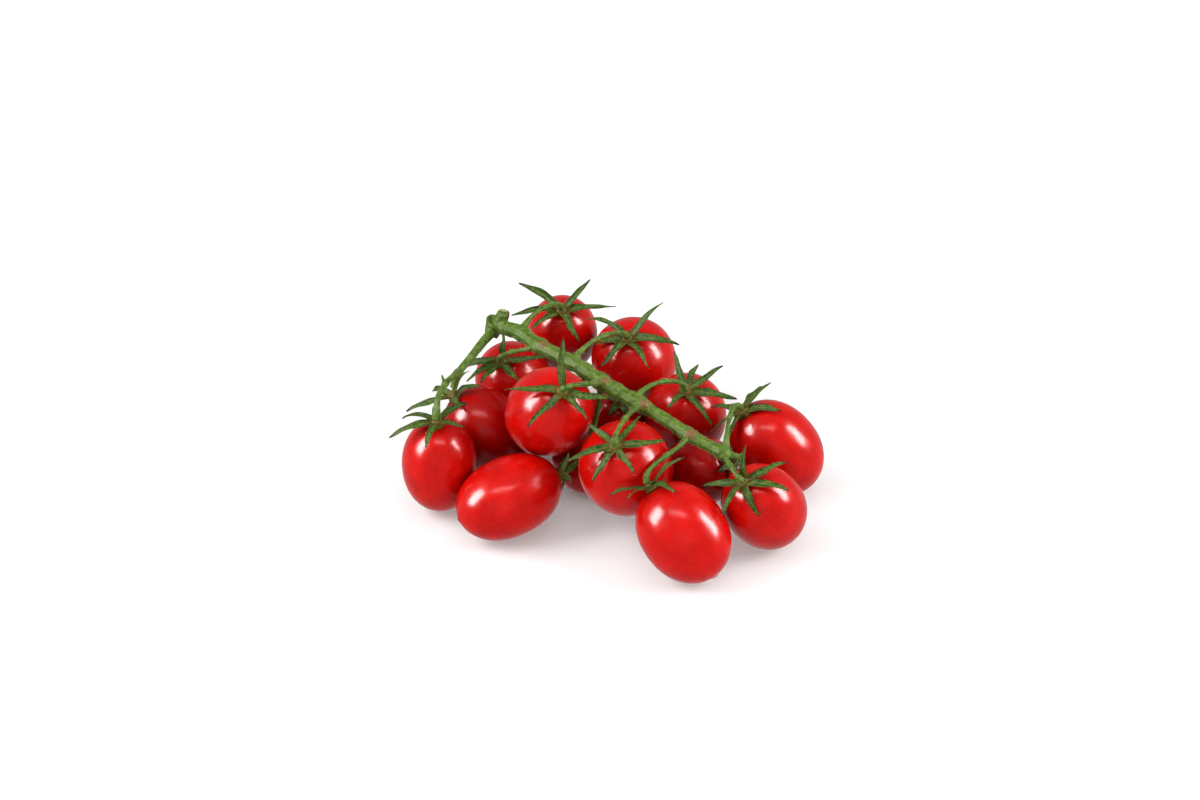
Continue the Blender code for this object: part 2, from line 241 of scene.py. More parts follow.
def stalkMaterial():
    material, tree, shader = newMaterial("greenStalk")
    place = put(tree, "TexCoord").outputs["Object"]
    ridge = attribute(tree, "ridge")
    body = noise(tree, place, stalkFinish["mottle"], 6.0)
    stops = (0.30, stalkFinish["dark"]), (0.5, stalkFinish["mid"]), (0.76, stalkFinish["light"])
    colour = ramp(tree, body, stops)
    # painted shade: the grooves between the ridges are darker
    colour = blendColour(tree, rangeOf(tree, ridge, -0.9, 0.4, 0.4, 0.0), colour, stalkFinish["dark"])
    specks = put(tree, "TexVoronoi", Vector=place, Scale=stalkFinish["specks"]).outputs["Distance"]
    colour = blendColour(tree, rangeOf(tree, specks, 0.24, 0.12, 0.0, 0.75), colour, stalkFinish["speck"])
    blotches = rangeOf(tree, noise(tree, place, stalkFinish["blotches"], 3.0), 0.3, 0.6, 0.4, 1.2)
    scar = sums(tree, "MULTIPLY", attribute(tree, "scar"), blotches)
    colour = blendColour(tree, rangeOf(tree, scar, 0.25, 0.8), colour, stalkFinish["scar"])
    colour = blendColour(tree, rangeOf(tree, attribute(tree, "torn"), 0.3, 0.7), colour, stalkFinish["torn"])
    edge = rangeOf(tree, attribute(tree, "tornEdge"), 0.4, 0.8)
    colour = blendColour(tree, edge, colour, stalkFinish["tornEdge"])
    tree.links.new(colour, shader.inputs["Base Color"])
    tree.links.new(rangeOf(tree, body, 0.3, 0.7, *stalkFinish["roughness"]), shader.inputs["Roughness"])
    grain = noise(tree, place, stalkFinish["grain"], 3.0)
    bumped(tree, shader, sums(tree, "ADD", grain, sums(tree, "MULTIPLY", specks, -0.6)), *stalkFinish["bump"])
    softened(shader, stalkFinish)
    return material


leafFinish = {
    "deep": (0.010, 0.027, 0.003), "mid": (0.030, 0.066, 0.005), "light": (0.11, 0.15, 0.018),
    "rib": (0.10, 0.14, 0.03), "heart": (0.13, 0.080, 0.010), "dry": (0.030, 0.012, 0.004),
    "under": (0.075, 0.115, 0.03), "roughness": (0.5, 0.68), "bump": (0.4, 0.00012), "specular": 0.16,
    "sheen": 0.03, "sheenRoughness": 0.45, "sheenTint": (0.8, 0.92, 0.65, 1),
    "mottle": 900.0, "veins": 52.0, "veinSlant": 7.0, "blotches": 900.0, "grain": 1800.0,
}


def leafMaterial():
    material, tree, shader = newMaterial("sepalLeaf")
    place = put(tree, "TexCoord").outputs["Object"]
    along = attribute(tree, "along")
    across = attribute(tree, "across")
    side = put(tree, "Math", {"operation": "ABSOLUTE"}, i0=across).outputs[0]
    patch = noise(tree, place, leafFinish["mottle"], 6.0)
    stops = (0.32, leafFinish["deep"]), (0.5, leafFinish["mid"]), (0.74, leafFinish["light"])
    colour = ramp(tree, patch, stops)
    colour = blendColour(tree, attribute(tree, "under"), colour, leafFinish["under"])
    # side veins run outwards and towards the tip
    phase = sums(tree, "SUBTRACT", sums(tree, "MULTIPLY", along, leafFinish["veins"]),
                 sums(tree, "MULTIPLY", side, leafFinish["veinSlant"]))
    veins = put(tree, "Math", {"operation": "SINE"}, i0=phase).outputs[0]
    colour = blendColour(tree, rangeOf(tree, veins, 0.6, 1.0, 0.0, 0.3), colour, leafFinish["light"])
    colour = blendColour(tree, rangeOf(tree, side, 0.20, 0.05, 0.0, 0.75), colour, leafFinish["rib"])
    colour = blendColour(tree, rangeOf(tree, side, 0.72, 1.0, 0.0, 0.7), colour, leafFinish["deep"])
    blotches = noise(tree, place, leafFinish["blotches"], 2.0)
    heart = sums(tree, "ADD", along, sums(tree, "MULTIPLY", blotches, 0.25))
    colour = blendColour(tree, rangeOf(tree, heart, 0.36, 0.14, 0.0, 0.75), colour, leafFinish["heart"])
    dryness = sums(tree, "ADD", attribute(tree, "dryness"), sums(tree, "MULTIPLY", patch, 0.3))
    colour = blendColour(tree, rangeOf(tree, dryness, 0.75, 1.1), colour, leafFinish["dry"])
    tree.links.new(colour, shader.inputs["Base Color"])
    tree.links.new(rangeOf(tree, patch, 0.3, 0.7, *leafFinish["roughness"]), shader.inputs["Roughness"])
    grain = noise(tree, place, leafFinish["grain"], 2.0)
    bumped(tree, shader, sums(tree, "ADD", sums(tree, "MULTIPLY", veins, 0.35), grain), *leafFinish["bump"])
    softened(shader, leafFinish)
    return material


hairFinish = {"dark": (0.42, 0.50, 0.26), "light": (0.66, 0.70, 0.46), "mottle": 700.0, "roughness": 0.5}


def hairMaterial():
    material, tree, shader = newMaterial("paleHair")
    place = put(tree, "TexCoord").outputs["Object"]
    mottle = noise(tree, place, hairFinish["mottle"])
    colour = ramp(tree, mottle, ((0.3, hairFinish["dark"]), (0.7, hairFinish["light"])))
    tree.links.new(colour, shader.inputs["Base Color"])
    shader.inputs["Roughness"].default_value = hairFinish["roughness"]
    return material


ripeSkin, greenStalk, sepalLeaf, paleHair = skinMaterial(), stalkMaterial(), leafMaterial(), hairMaterial()
print("materials made")


# centre, degrees that the stem end points up, where it points (from +X towards +Y), length, width, and
# the sepals: direction round the axis, length, rise at the root, how far it bends down by the tip,
# sideways bend, and how dry the tip is
# a share of painted shade darkens the skin of the fruits lying deep inside the truss
fruits = {
    1: dict(centre=(-15.5, 67, 24.5), up=60, toward=-90, length=34, width=25, sepals=(
        (150, 17, 40, 40, 14, 0.3), (42, 14, 35, 35, 16, 0.3), (2, 18.5, 18, 26, 8, 0.4),
        (186, 17, 20, 30, 14, 0.3), (214, 12, 20, 50, 0, 0.2), (298, 13, 15, 50, -6, 0.2))),
    2: dict(centre=(10, 52, 23), up=58, toward=-106, length=33, width=29.6, sepals=(
        (152, 17, 78, 112, 22, 0.6), (39, 17, 30, 30, 6, 0.2), (350, 18, 25, 55, -12, 0.6),
        (305, 13, 15, 50, 4, 0.3), (225, 13, 15, 50, -10, 0.2), (180, 12, 5, 45, 0, 0.2))),
    3: dict(centre=(-32, 46.5, 17.5), up=55, toward=-113, length=34, width=27, sepals=(
        (58, 14, 72, 12, 0, 0.2), (184, 17.5, 25, 55, 24, 0.3), (220, 14.5, 47, 38, 10, 0.4),
        (248, 14, 62, 46, 5, 0.3), (307, 12, 40, 50, 10, 0.7), (0, 17, 14, 40, 8, 0.3))),
    4: dict(centre=(-40, 19, 15.5), up=50, toward=176, length=35, width=26, innerShade=0.45, sepals=(
        (190, 16, 40, 35, 0, 0.4), (285, 10, 15, 50, 10, 0.5), (130, 13, 30, 40, 0, 0.3),
        (62, 12, 22, 50, 0, 0.2), (343, 11.5, 17, 48, 0, 0.3))),
    5: dict(centre=(-55.5, -3, 17.2), up=86, toward=-100, length=34.5, width=25.6, sepals=(
        (195, 16, 5, 30, 0, 0.5), (160, 12, 30, 80, 10, 0.7), (40, 12, 30, 50, 0, 0.9),
        (318, 13, 35, 30, 10, 0.3), (253, 11, 15, 50, 0, 0.3), (95, 11, 30, 50, 0, 0.3))),
    6: dict(centre=(-19, 3, 34.2), up=54, toward=-64, length=35, width=29, sepals=(
        (100, 16.5, 40, 25, -8, 0.2), (180, 18, 5, 30, 10, 0.5), (229, 16, 5, 50, -8, 0.3),
        (312, 12, 20, 50, 6, 0.4), (348, 15, 25, 25, 8, 0.3))),
    7: dict(centre=(-32, -16.8, 13.9), up=9, toward=28, length=37, width=26.5, sepals=(
        (75, 6, 20, 40, 0, 0.3), (140, 6, 25, 40, 0, 0.3), (205, 5.5, 60, 10, 0, 0.3),
        (265, 9, 45, 40, 0, 0.3), (340, 6, 30, 40, 0, 0.3))),
    8: dict(centre=(6.6, -14, 23.6), up=57, toward=-111, length=35, width=31, sepals=(
        (136, 12, 20, 50, 0, 0.2), (52, 13.5, 10, 40, 8, 0.3), (2, 16, 16, 45, 12, 0.5),
        (299, 11.5, 25, 50, 0, 0.2), (234, 13.5, 15, 50, -6, 0.2), (195, 16, 15, 25, 8, 0.3))),
    9: dict(centre=(3, 29, 13.3), up=58, toward=-78, length=28.5, width=21, innerShade=0.6, sepals=(
        (12, 5, 19, 50, 0, 0.3), (86, 4.5, 13, 50, 0, 0.3), (157, 5, 21, 50, 0, 0.3),
        (230, 5.5, 12, 45, 0, 0.3), (301, 5.5, 17, 55, 0, 0.3))),
    10: dict(centre=(27.4, 25.5, 17.2), up=62, toward=-95, length=35, width=28, sepals=(
        (105, 13.5, 30, 30, -8, 0.4), (28, 14.5, 25, 25, 8, 0.4), (350, 17, 10, 20, -6, 0.3),
        (306, 15.5, 10, 50, 6, 0.3), (240, 12, 50, 40, 0, 0.3), (68, 12, 15, 50, 0, 0.2))),
    11: dict(centre=(57.6, 7, 17), up=53, toward=-177, length=37, width=28.5, sepals=(
        (145, 13, 30, 30, 0, 0.6), (188, 13.5, 25, 45, 0, 0.4), (228, 12, 15, 50, 0, 0.3),
        (55, 11, 20, 50, 0, 0.3), (22, 12.5, 30, 50, 8, 0.4), (343, 12.5, 0, 50, 0, 0.5))),
    12: dict(centre=(51.6, -25, 16), up=55, toward=-138, length=34.5, width=26.5, sepals=(
        (60, 12, 62, 25, 0, 0.2), (21, 15, 5, 35, 10, 0.6), (345, 15, 5, 65, -6, 0.4),
        (288, 12, 5, 65, 8, 0.2), (246, 14, 45, 45, 0, 0.3), (177, 13, 30, 45, 0, 0.4))),
    13: dict(centre=(24.8, -39.4, 16.3), up=46, toward=147, length=35, width=28, sepals=(
        (228, 12, 30, 30, 0, 0.4), (185, 12.5, 45, 40, 0, 0.4), (332, 11, 24, 5, 0, 0.3),
        (10, 14, 22, 35, 8, 0.5), (300, 12.5, 5, 60, 0, 0.2))),
    14: dict(centre=(30.3, -1.8, 12.8), up=38, toward=-35, length=31, width=24, innerShade=0.6, sepals=(
        (10, 7, 8, 50, 0, 0.3), (82, 7, 4, 50, 0, 0.3), (153, 6, 11, 50, 0, 0.3),
        (226, 5.5, 9, 42, 0, 0.3), (297, 7, 7, 50, 0, 0.3))),
    15: dict(centre=(-8.2, 10, 10.9), up=25, toward=112, length=27, width=20.5, innerShade=0.6, sepals=(
        (30, 6, 12, 50, 0, 0.3), (104, 6.5, 8, 50, 0, 0.3), (175, 6, 14, 50, 0, 0.3),
        (249, 5.5, 7, 50, 0, 0.3), (320, 6.5, 11, 50, 0, 0.3))),
}
fruitShape = {"rings": 72, "sides": 88, "fullness": 2.15, "dimple": (1.1, 2.4), "furrow": 0.05,
              "furrowReach": 5.0, "lobes": 0.011, "tip": (0.5, 1.4), "pit": 0.35}


def fruitAxes(fruit):
    up, toward = math.radians(fruit["up"]), math.radians(fruit["toward"])
    axis = np.array((math.cos(up) * math.cos(toward), math.cos(up) * math.sin(toward), math.sin(up)))
    right = unit(np.array((1.0, 0, 0)) - axis[0] * axis)
    return right, np.cross(axis, right), axis


def stemPoint(fruit, height):
    return np.array(fruit["centre"]) + fruitAxes(fruit)[2] * (fruit["length"] / 2 + height)


def fruitSurface(fruit, seed):
    # height is half the length times cos t, radius is half the width times sqrt(1 - |cos t|^fullness), with two
    # and three soft lobes; the stem end sinks by a Gaussian of the radius and has faint furrows, and the far
    # end rises to a small tip with a pit in it
    rings, sides = fruitShape["rings"], fruitShape["sides"]
    pick = np.random.default_rng(seed)
    t = np.linspace(0, math.pi, rings + 2)[1:-1, None]
    turn = np.linspace(0, math.tau, sides, endpoint=False)[None, :]
    shift = pick.uniform(0, math.tau, 4)
    waves = np.cos(2 * turn + shift[0]) + 0.6 * np.cos(3 * turn + shift[1])
    lobes = 1 + fruitShape["lobes"] * waves * np.sin(t)
    radius = fruit["width"] / 2 * np.sqrt(1 - np.abs(np.cos(t))**fruitShape["fullness"]) * lobes
    height = np.cos(t) * fruit["length"] / 2 + 0 * turn
    depth, reach = fruitShape["dimple"]
    near = np.exp(-(radius / fruitShape["furrowReach"])**2) * (np.cos(t) > 0)
    height = height - depth * np.exp(-(radius / reach)**2) * (np.cos(t) > 0)
    height = height - fruitShape["furrow"] * near * (1 + np.cos(5 * turn + shift[2]))
    tip, tipReach = fruitShape["tip"]
    height = height - tip * np.exp(-(radius / tipReach)**2) * (np.cos(t) < 0)
    height = height + (tip + 0.1) * np.exp(-(radius / fruitShape["pit"])**2) * (np.cos(t) < 0) * 0.5
    local = np.stack((radius * np.cos(turn), radius * np.sin(turn), height), -1).reshape(-1, 3)
    poles = ((0, 0, fruit["length"] / 2 - depth - fruitShape["furrow"]),
             (0, 0, -fruit["length"] / 2 - tip * 0.45))
    share = np.repeat(np.linspace(0, 1, rings + 2)[1:-1], sides)
    return np.vstack((local, poles)), np.concatenate((share, (0, 1)))


def makeFruit(number, fruit):
    rings, sides = fruitShape["rings"], fruitShape["sides"]
    local, share = fruitSurface(fruit, 100 + number)
    right, back, axis = fruitAxes(fruit)
    points = np.array(fruit["centre"]) + local @ np.array((right, back, axis))
    points[:, 2] = np.maximum(points[:, 2], 0)  # the flat spot it rests on
    last = rings * sides
    faces = bandFaces(rings, sides, True)
    faces += fanFaces(np.arange(sides), last) + fanFaces(np.arange(sides) + last - sides, last + 1)
    piece = makePiece(f"fruit_{number:02d}", points, faces, ripeSkin,
                      {"fruitPlace": local + number * 37.0, "fromStem": share,
                       "innerShade": np.full(len(local), fruit.get("innerShade", 0.0))})
    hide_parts(f"tomato_{number:02d}")


for number, fruit in fruits.items():
    makeFruit(number, fruit)
print("fruits made")


stalk = {
    "rachis": ((-38.5, 45, 41.5), (-34, 41, 43), (-29, 36.5, 44), (-22.3, 28, 44), (-11.1, 18.2, 43.8),
               (-1.3, 7.5, 43), (9.2, 0.3, 40.6), (20.3, -6.5, 37), (26.7, -12, 35.6), (38.6, -19, 32.8),
               (43.4, -21, 32.8)),
    "rachisRadius": (2.55, 1.95), "rachisEnd": 1.1, "node": 0.6,
    "knob": ((-39.8, 42.6, 39), (-38.4, 44.2, 41.5), (-37.4, 44.2, 44)), "knobRadius": (2.4, 4.0),
    "bract": ((-53.4, 7.2, 42), (-53.9, 7.4, 44), (-54.4, 7.6, 46.2)), "bractRadius": (0.9, 0.25),
    "stub": ((-37.2, 44.2, 41.5), (-36, 44, 45), (-34.9, 44, 47.9)),
    "stubRadius": (2.7, 2.2),
    "branch": ((-38, 44.5, 41), (-42, 38, 39.5), (-46.6, 29, 38), (-50.2, 21.5, 37), (-51.6, 19, 33)),
    "branchRadius": (1.7, 1.15),
    "voxel": 0.3, "easing": 5, "sides": 24, "step": 0.7,
}
snap = {"reach": 2.2, "slant": 0.25, "jags": (0.45, 0.25)}
scars = {"nodes": (3, 6, 8, 13), "facing": (0.45, -0.829, 0.659), "out": 2.6, "reach": 2.1, "bump": (0.55, 1.1),
         "dent": (0.3, 0.45)}

# where each fruit's own stalk leaves, the direction it leaves in, and how far it runs before each turn, or else
# the places it runs through
ownStalks = {
    1: dict(root=(-29, 36.5, 44), leaves=(0.3, 0.2, 1.0), reach=(9, 8)),
    2: dict(root=(-11.1, 18.2, 43.8), leaves=(0.5, 0.4, 1.0), reach=(10, 8)),
    3: dict(root=(-22.3, 28, 44), leaves=(-0.7, -0.6, 0.2), reach=(7, 6)),
    5: dict(root=(-49.6, 22.4, 37.4), thick=1.3,
            through=((-51.4, 14.5, 40.6), (-53.6, 7, 42.4), (-55.3, 0.5, 42), (-55.7, -3.2, 39.6))),
    6: dict(root=(-1.3, 7.5, 43), leaves=(-0.5, -0.8, 0.4), reach=(7, 6)),
    7: dict(root=(-1.8, 8, 43), leaves=(0, 0.05, -1.0), reach=(14, 9)),
    8: dict(root=(11.5, -1.2, 40), leaves=(-0.5, -0.8, 0.3), reach=(8, 7)),
    9: dict(root=(4, 4, 41.8), leaves=(-0.1, 0.7, -0.8), reach=(5, 4)),
    10: dict(root=(9.2, 0.3, 40.6), leaves=(0.6, 0.5, 0.8), reach=(10, 8)),
    11: dict(root=(38.6, -19, 32.8), leaves=(0.1, 0.5, 1.0), reach=(8, 7)),
    12: dict(root=(38.6, -19, 32.8), leaves=(0.0, -1.0, 0.2), reach=(6, 5)),
    13: dict(root=(26.7, -12, 35.6), leaves=(-0.2, -1.0, -0.2), reach=(8, 7)),
    14: dict(root=(43.2, -20.8, 32.5), leaves=(0.5, 0.4, -0.3), reach=(3, 4)),
    15: dict(root=(-7, 13.5, 43.5), leaves=(0.1, 0.4, -1.0), reach=(8, 5)),
}
ownStalk = {"radius": 0.76, "root": 0.6, "knuckle": 0.3, "end": 0.5, "gap": 1.95}


def tube(path, radii, sides):
    # path + radius (cos a side + sin a other), where the side is the path's own flattest direction, kept square
    # to it
    tangent = unit(np.gradient(path, axis=0))
    flat = np.linalg.svd(path - path.mean(0))[2][2]
    side = unit(flat - tangent * (tangent @ flat)[:, None])
    other = np.cross(tangent, side)
    turn = np.linspace(0, math.tau, sides, endpoint=False)
    ring = np.cos(turn)[None, :, None] * side[:, None] + np.sin(turn)[None, :, None] * other[:, None]
    points = (path[:, None] + radii[:, None, None] * ring).reshape(-1, 3)
    points = np.vstack((points, path[:1], path[-1:]))
    last = len(path) * sides
    faces = bandFaces(len(path), sides, True)
    faces += fanFaces(np.arange(sides), last) + fanFaces(np.arange(sides) + last - sides, last + 1)
    return points, faces, side, other


def stalkTubes():
    # every tube as its path, its radii, how many ridges it has and how high they stand
    path, along = curveThrough(stalk["rachis"], stalk["step"])
    share = along / along[-1]
    radii = stalk["rachisRadius"][0] + (stalk["rachisRadius"][1] - stalk["rachisRadius"][0]) * share
    for own in ownStalks.values():
        away = np.linalg.norm(path - np.array(own["root"]), axis=1)
        radii = radii + stalk["node"] * np.exp(-(away / 2.2)**2)
    radii = np.minimum(radii, stalk["rachisRadius"][0] + stalk["node"]) * (1 + 0.03 * np.sin(along * 0.9))
    radii = radii + (stalk["rachisEnd"] - radii) * np.clip((share - 0.93) / 0.06, 0, 1)
    tubes = [(path, radii, 9, 0.07)]
    for name, ridges in (("knob", 7), ("stub", 6), ("branch", 5), ("bract", 3)):
        path, along = curveThrough(stalk[name], stalk["step"])
        low, high = stalk[name + "Radius"]
        tubes.append((path, low + (high - low) * along / along[-1], ridges, 0.06))
    for number, own in ownStalks.items():
        root = np.array(own["root"], float)
        end = stemPoint(fruits[number], ownStalk["gap"])
        if "through" in own:
            path, along = curveThrough((root, *own["through"], end), stalk["step"])
        else:
            leave = root + unit(np.array(own["leaves"], float)) * own["reach"][0]
            arrive = end + fruitAxes(fruits[number])[2] * own["reach"][1]
            path, along = curveBetween(root, leave, arrive, end, stalk["step"])
        share = along / along[-1]
        radii = (ownStalk["radius"] * own.get("thick", 1) + ownStalk["root"] * np.exp(-(share / 0.16)**2)
                 + ownStalk["knuckle"] * np.exp(-((share - 0.5) / 0.06)**2)
                 - 0.12 * np.exp(-((share - 0.56) / 0.02)**2)
                 + ownStalk["end"] * np.exp(-((share - 1) / 0.12)**2))
        tubes.append((path, radii, 5, 0.05))
    return tubes


def nearestOnTubes(points, tubes, frames):
    # for each point, the tube station whose surface is nearest, the next best tube, and the angle round it
    centres = np.vstack([tube[0] for tube in tubes])
    radii = np.concatenate([tube[1] for tube in tubes])
    owner = np.concatenate([np.full(len(tube[0]), k) for k, tube in enumerate(tubes)])
    side = np.vstack([f[0] for f in frames])
    other = np.vstack([f[1] for f in frames])
    station, margin = np.empty(len(points), int), np.empty(len(points))
    for first in range(0, len(points), 6000):
        part = points[first:first + 6000]
        away = np.sqrt(((part[:, None] - centres[None])**2).sum(-1)) - radii[None]
        best = away.argmin(1)
        station[first:first + 6000] = best
        rest = np.where(owner[None] == owner[best][:, None], 99.0, away)
        margin[first:first + 6000] = rest.min(1) - away[np.arange(len(part)), best]
    out = points - centres[station]
    turn = np.arctan2((out * other[station]).sum(1), (out * side[station]).sum(1))
    return station, owner[station], margin, turn, unit(out)


def snappedTop(places):
    # the stub's top is a slanted, jagged break: how far each point rises, and where it is pale and where brown
    above = places - np.array(stalk["stub"][-1], float)
    across = np.linalg.norm(above[:, :2], axis=1)
    jag = snap["jags"][0] * wobble(places, 3.1, 9) + snap["jags"][1] * wobble(places, 6.3, 10)
    rise = np.exp(-(np.linalg.norm(above, axis=1) / snap["reach"])**2) * (jag + snap["slant"] * above[:, 0])
    torn = (above[:, 2] > -0.9) * (across < 2.6) * (above[:, 1] > 0.3)
    tornEdge = (above[:, 2] > -2.6) * (across < 2.9) * (above[:, 0] > 1.0)
    return rise, torn, tornEdge


def addScars(places, out):
    # a brown bump with a dent in it, on the front of some nodes
    scar = np.zeros(len(places))
    (bump, bumpReach), (dent, dentReach) = scars["bump"], scars["dent"]
    for number in scars["nodes"]:
        spot = np.array(ownStalks[number]["root"]) + scars["out"] * unit(np.array(scars["facing"]))
        away = np.linalg.norm(places - spot, axis=1)
        scar = np.maximum(scar, np.exp(-(away / scars["reach"])**2))
        lift = bump * np.exp(-(away / bumpReach)**2) - dent * np.exp(-(away / dentReach)**2)
        places = places + out * lift[:, None]
    return places, scar


def joinTubes(tubes):
    # one closed skin over all the tubes, and the two directions across each of them
    points, faces, frames, first = [], [], [], 0
    for path, radii, ridges, height in tubes:
        shell, quads, side, other = tube(path, radii, stalk["sides"])
        faces += [[corner + first for corner in face] for face in quads]
        first += len(shell)
        points.append(shell)
        frames.append((side, other))
    rough = makePiece("stalkRough", np.vstack(points), faces, greenStalk)
    joining = rough.modifiers.new("join", "REMESH")
    joining.mode = "VOXEL"
    joining.voxel_size = stalk["voxel"] * mm
    easing = rough.modifiers.new("ease", "SMOOTH")
    easing.factor = 0.5
    easing.iterations = stalk["easing"]
    joined = bpy.data.meshes.new_from_object(rough.evaluated_get(bpy.context.evaluated_depsgraph_get()))
    bpy.data.objects.remove(rough, do_unlink=True)
    return joined, frames


def makeStalk():
    tubes = stalkTubes()
    joined, frames = joinTubes(tubes)
    places = np.empty(len(joined.vertices) * 3)
    joined.vertices.foreach_get("co", places)
    places = places.reshape(-1, 3) / mm + middle
    station, owner, margin, turn, out = nearestOnTubes(places, tubes, frames)
    ridges = np.array([tube[2] for tube in tubes])[owner]
    height = np.array([tube[3] for tube in tubes])[owner]
    clear = np.clip(margin / 1.2, 0, 1)
    ridge = np.cos(ridges * turn + 0.35 * wobble(places, 0.4, 3)) * clear
    places = places + out * (ridge * height + 0.07 * wobble(places, 1.3, 5))[:, None]
    rise, torn, tornEdge = snappedTop(places)
    places[:, 2] += rise
    places, scar = addScars(places, out)
    joined.vertices.foreach_set("co", ((places - middle) * mm).ravel())
    addAttributes(joined, {"ridge": ridge, "scar": scar, "torn": torn, "tornEdge": tornEdge})
    joined.materials.clear()
    joined.materials.append(greenStalk)
    joined.name = "stalk"
    joined.shade_smooth()
    piece = bpy.data.objects.new("stalk", joined)
    bpy.context.scene.collection.objects.link(piece)
    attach(piece, "root")
    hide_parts("vine_stem")
    return piece


stalkPiece = makeStalk()
print("stalk made:", len(stalkPiece.data.polygons), "faces")


sepalShape = {"stations": 34, "across": 9, "halfWidth": 1.22, "blunt": 0.19, "start": 0.9, "spread": 1.7,
              "lift": 0.75, "thick": 0.42, "fold": 0.42, "wave": 0.16, "bend": 15, "twist": 50, "rib": 0.12}
disc = {"radius": 2.3, "height": 2.0, "rings": 8, "sides": 40}


def wallFaces(a, b, below):
    # joins the rim from a to b with the same points underneath
    return np.stack((a, b, b + below, a + below), -1).tolist()


def sepalSurface(fruit, sepal, seed):
    # the midrib starts at the rise and bends down by the curl, turning sideways by the sway, and it bends and
    # twists at random; its half width is w (1 - s)^0.9 (1 + 0.9 s); the blade is folded up along the rib by
    # |u|, its rim waves, and it is thinner there
    direction, length, rise, curl, sway, dry = sepal
    stations, across = sepalShape["stations"], sepalShape["across"]
    pick = np.random.default_rng(seed)
    right, back, axis = fruitAxes(fruit)
    s = np.linspace(0, 1, stations)
    u = np.linspace(-1, 1, across)
    slope = np.radians(rise - curl * s)
    sways, phases = pick.uniform(-1, 1, 3), pick.uniform(0, 6.28, 4)
    bend = sepalShape["bend"]
    slope = slope + np.radians(bend * sways[0] * s * np.sin(6 * s + phases[0]))
    heading = np.radians(direction + sway * (s - 0.3) + bend * sways[1] * s * np.sin(6 * s + phases[1]))
    out = np.cos(heading)[:, None] * right + np.sin(heading)[:, None] * back
    step = length / (stations - 1)
    forward = np.cos(slope)[:, None] * out + np.sin(slope)[:, None] * axis
    begin = sepalShape["start"] + sepalShape["spread"] * (rise / 90)**2
    root = stemPoint(fruit, sepalShape["lift"]) + out[0] * begin
    rib = root + np.vstack((np.zeros(3), np.cumsum((forward[1:] + forward[:-1]) / 2 * step, axis=0)))
    twist = np.radians(sepalShape["twist"] * sways[2]) * s**1.3
    side = np.cross(axis, out)
    normal = np.cross(forward, side)
    side, normal = (side * np.cos(twist)[:, None] + normal * np.sin(twist)[:, None],
                    normal * np.cos(twist)[:, None] - side * np.sin(twist)[:, None])
    half = sepalShape["halfWidth"] * (1 - s)**0.9 * (1 + 0.9 * s) * pick.uniform(0.85, 1.2)
    half = half + sepalShape["blunt"]
    half = half * (1 + 0.09 * np.sin(13 * s + phases[2]))
    uneven = u[None] * (1 + 0.12 * np.sign(u)[None] * np.sin(9 * s + phases[3])[:, None])
    fold = sepalShape["fold"] * (1 - 0.9 * s) + pick.uniform(-0.7, 0.9) * s
    rim = np.sin(s[:, None] * pick.uniform(9, 15) + pick.uniform(0, 6) + 1.4 * u[None])
    rim = sepalShape["wave"] * rim * u[None]**2
    lift = (half[:, None] * fold[:, None] * np.abs(u)[None] + rim * (half / 1.3)[:, None]
            + sepalShape["rib"] * half[:, None] * np.exp(-(u[None] / 0.16)**2))
    top = rib[:, None] + side[:, None] * (half[:, None] * uneven)[..., None] + normal[:, None] * lift[..., None]
    thick = sepalShape["thick"] * np.sqrt(1.02 - u**2)[None] * (0.35 + 0.65 * (1 - s))[:, None]
    under = top - normal[:, None] * thick[..., None]
    count = stations * across
    faces = bandFaces(stations, across, False) + bandFaces(stations, across, False, count)
    ends = np.arange(across - 1)
    rows = np.arange(stations - 1) * across
    last = count - across
    faces += wallFaces(ends, ends + 1, count) + wallFaces(ends + last, ends + 1 + last, count)
    faces += wallFaces(rows, rows + across, count) + wallFaces(rows + across - 1, rows + 2 * across - 1, count)
    along = np.tile(np.repeat(s, across), 2)
    spread = np.tile(np.tile(u, stations), 2)
    below = np.concatenate((np.zeros(count), np.ones(count)))
    dryness = along**3 * dry * 1.3 + 1.1 * np.exp(-((1 - along) / 0.07)**2)
    return np.vstack((top.reshape(-1, 3), under.reshape(-1, 3))), faces, along, spread, below, dryness


def discSurface(fruit):
    # a low mound: radius and height follow a quarter turn, with a soft five-lobed rim
    rings, sides = disc["rings"], disc["sides"]
    right, back, axis = fruitAxes(fruit)
    t = np.linspace(0, 1, rings)[:, None]
    turn = np.linspace(0, math.tau, sides, endpoint=False)[None]
    radius = disc["radius"] * np.cos(t * 1.15)**0.8 * (1 + 0.08 * np.cos(5 * turn) * (1 - t))
    height = -0.5 + (disc["height"] + 0.5) * np.sin(t * math.pi / 2)**1.3 + 0 * turn
    base = stemPoint(fruit, 0)
    flat = radius[..., None] * (np.cos(turn)[..., None] * right + np.sin(turn)[..., None] * back)
    points = (base + flat + height[..., None] * axis).reshape(-1, 3)
    points = np.vstack((points, base - 0.5 * axis, base + disc["height"] * axis))
    last = rings * sides
    faces = bandFaces(rings, sides, True)
    faces += fanFaces(np.arange(sides), last) + fanFaces(np.arange(sides) + last - sides, last + 1)
    return points, faces


def makeSepals(number, fruit):
    points, faces = discSurface(fruit)
    total = len(points)
    parts = [(points, faces, np.full(total, 0.05), np.full(total, 0.5), np.zeros(total), np.zeros(total))]
    for index, sepal in enumerate(fruit["sepals"]):
        parts.append(sepalSurface(fruit, sepal, number * 20 + index))
    allFaces, first = [], 0
    for part in parts:
        allFaces += [[corner + first for corner in face] for face in part[1]]
        first += len(part[0])
    points = np.vstack([part[0] for part in parts])
    names = ("along", "across", "under", "dryness")
    values = {name: np.concatenate([part[k + 2] for part in parts]) for k, name in enumerate(names)}
    piece = makePiece(f"sepals_{number:02d}", points, allFaces, sepalLeaf, values)
    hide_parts(f"calyx_{number:02d}")
    return piece


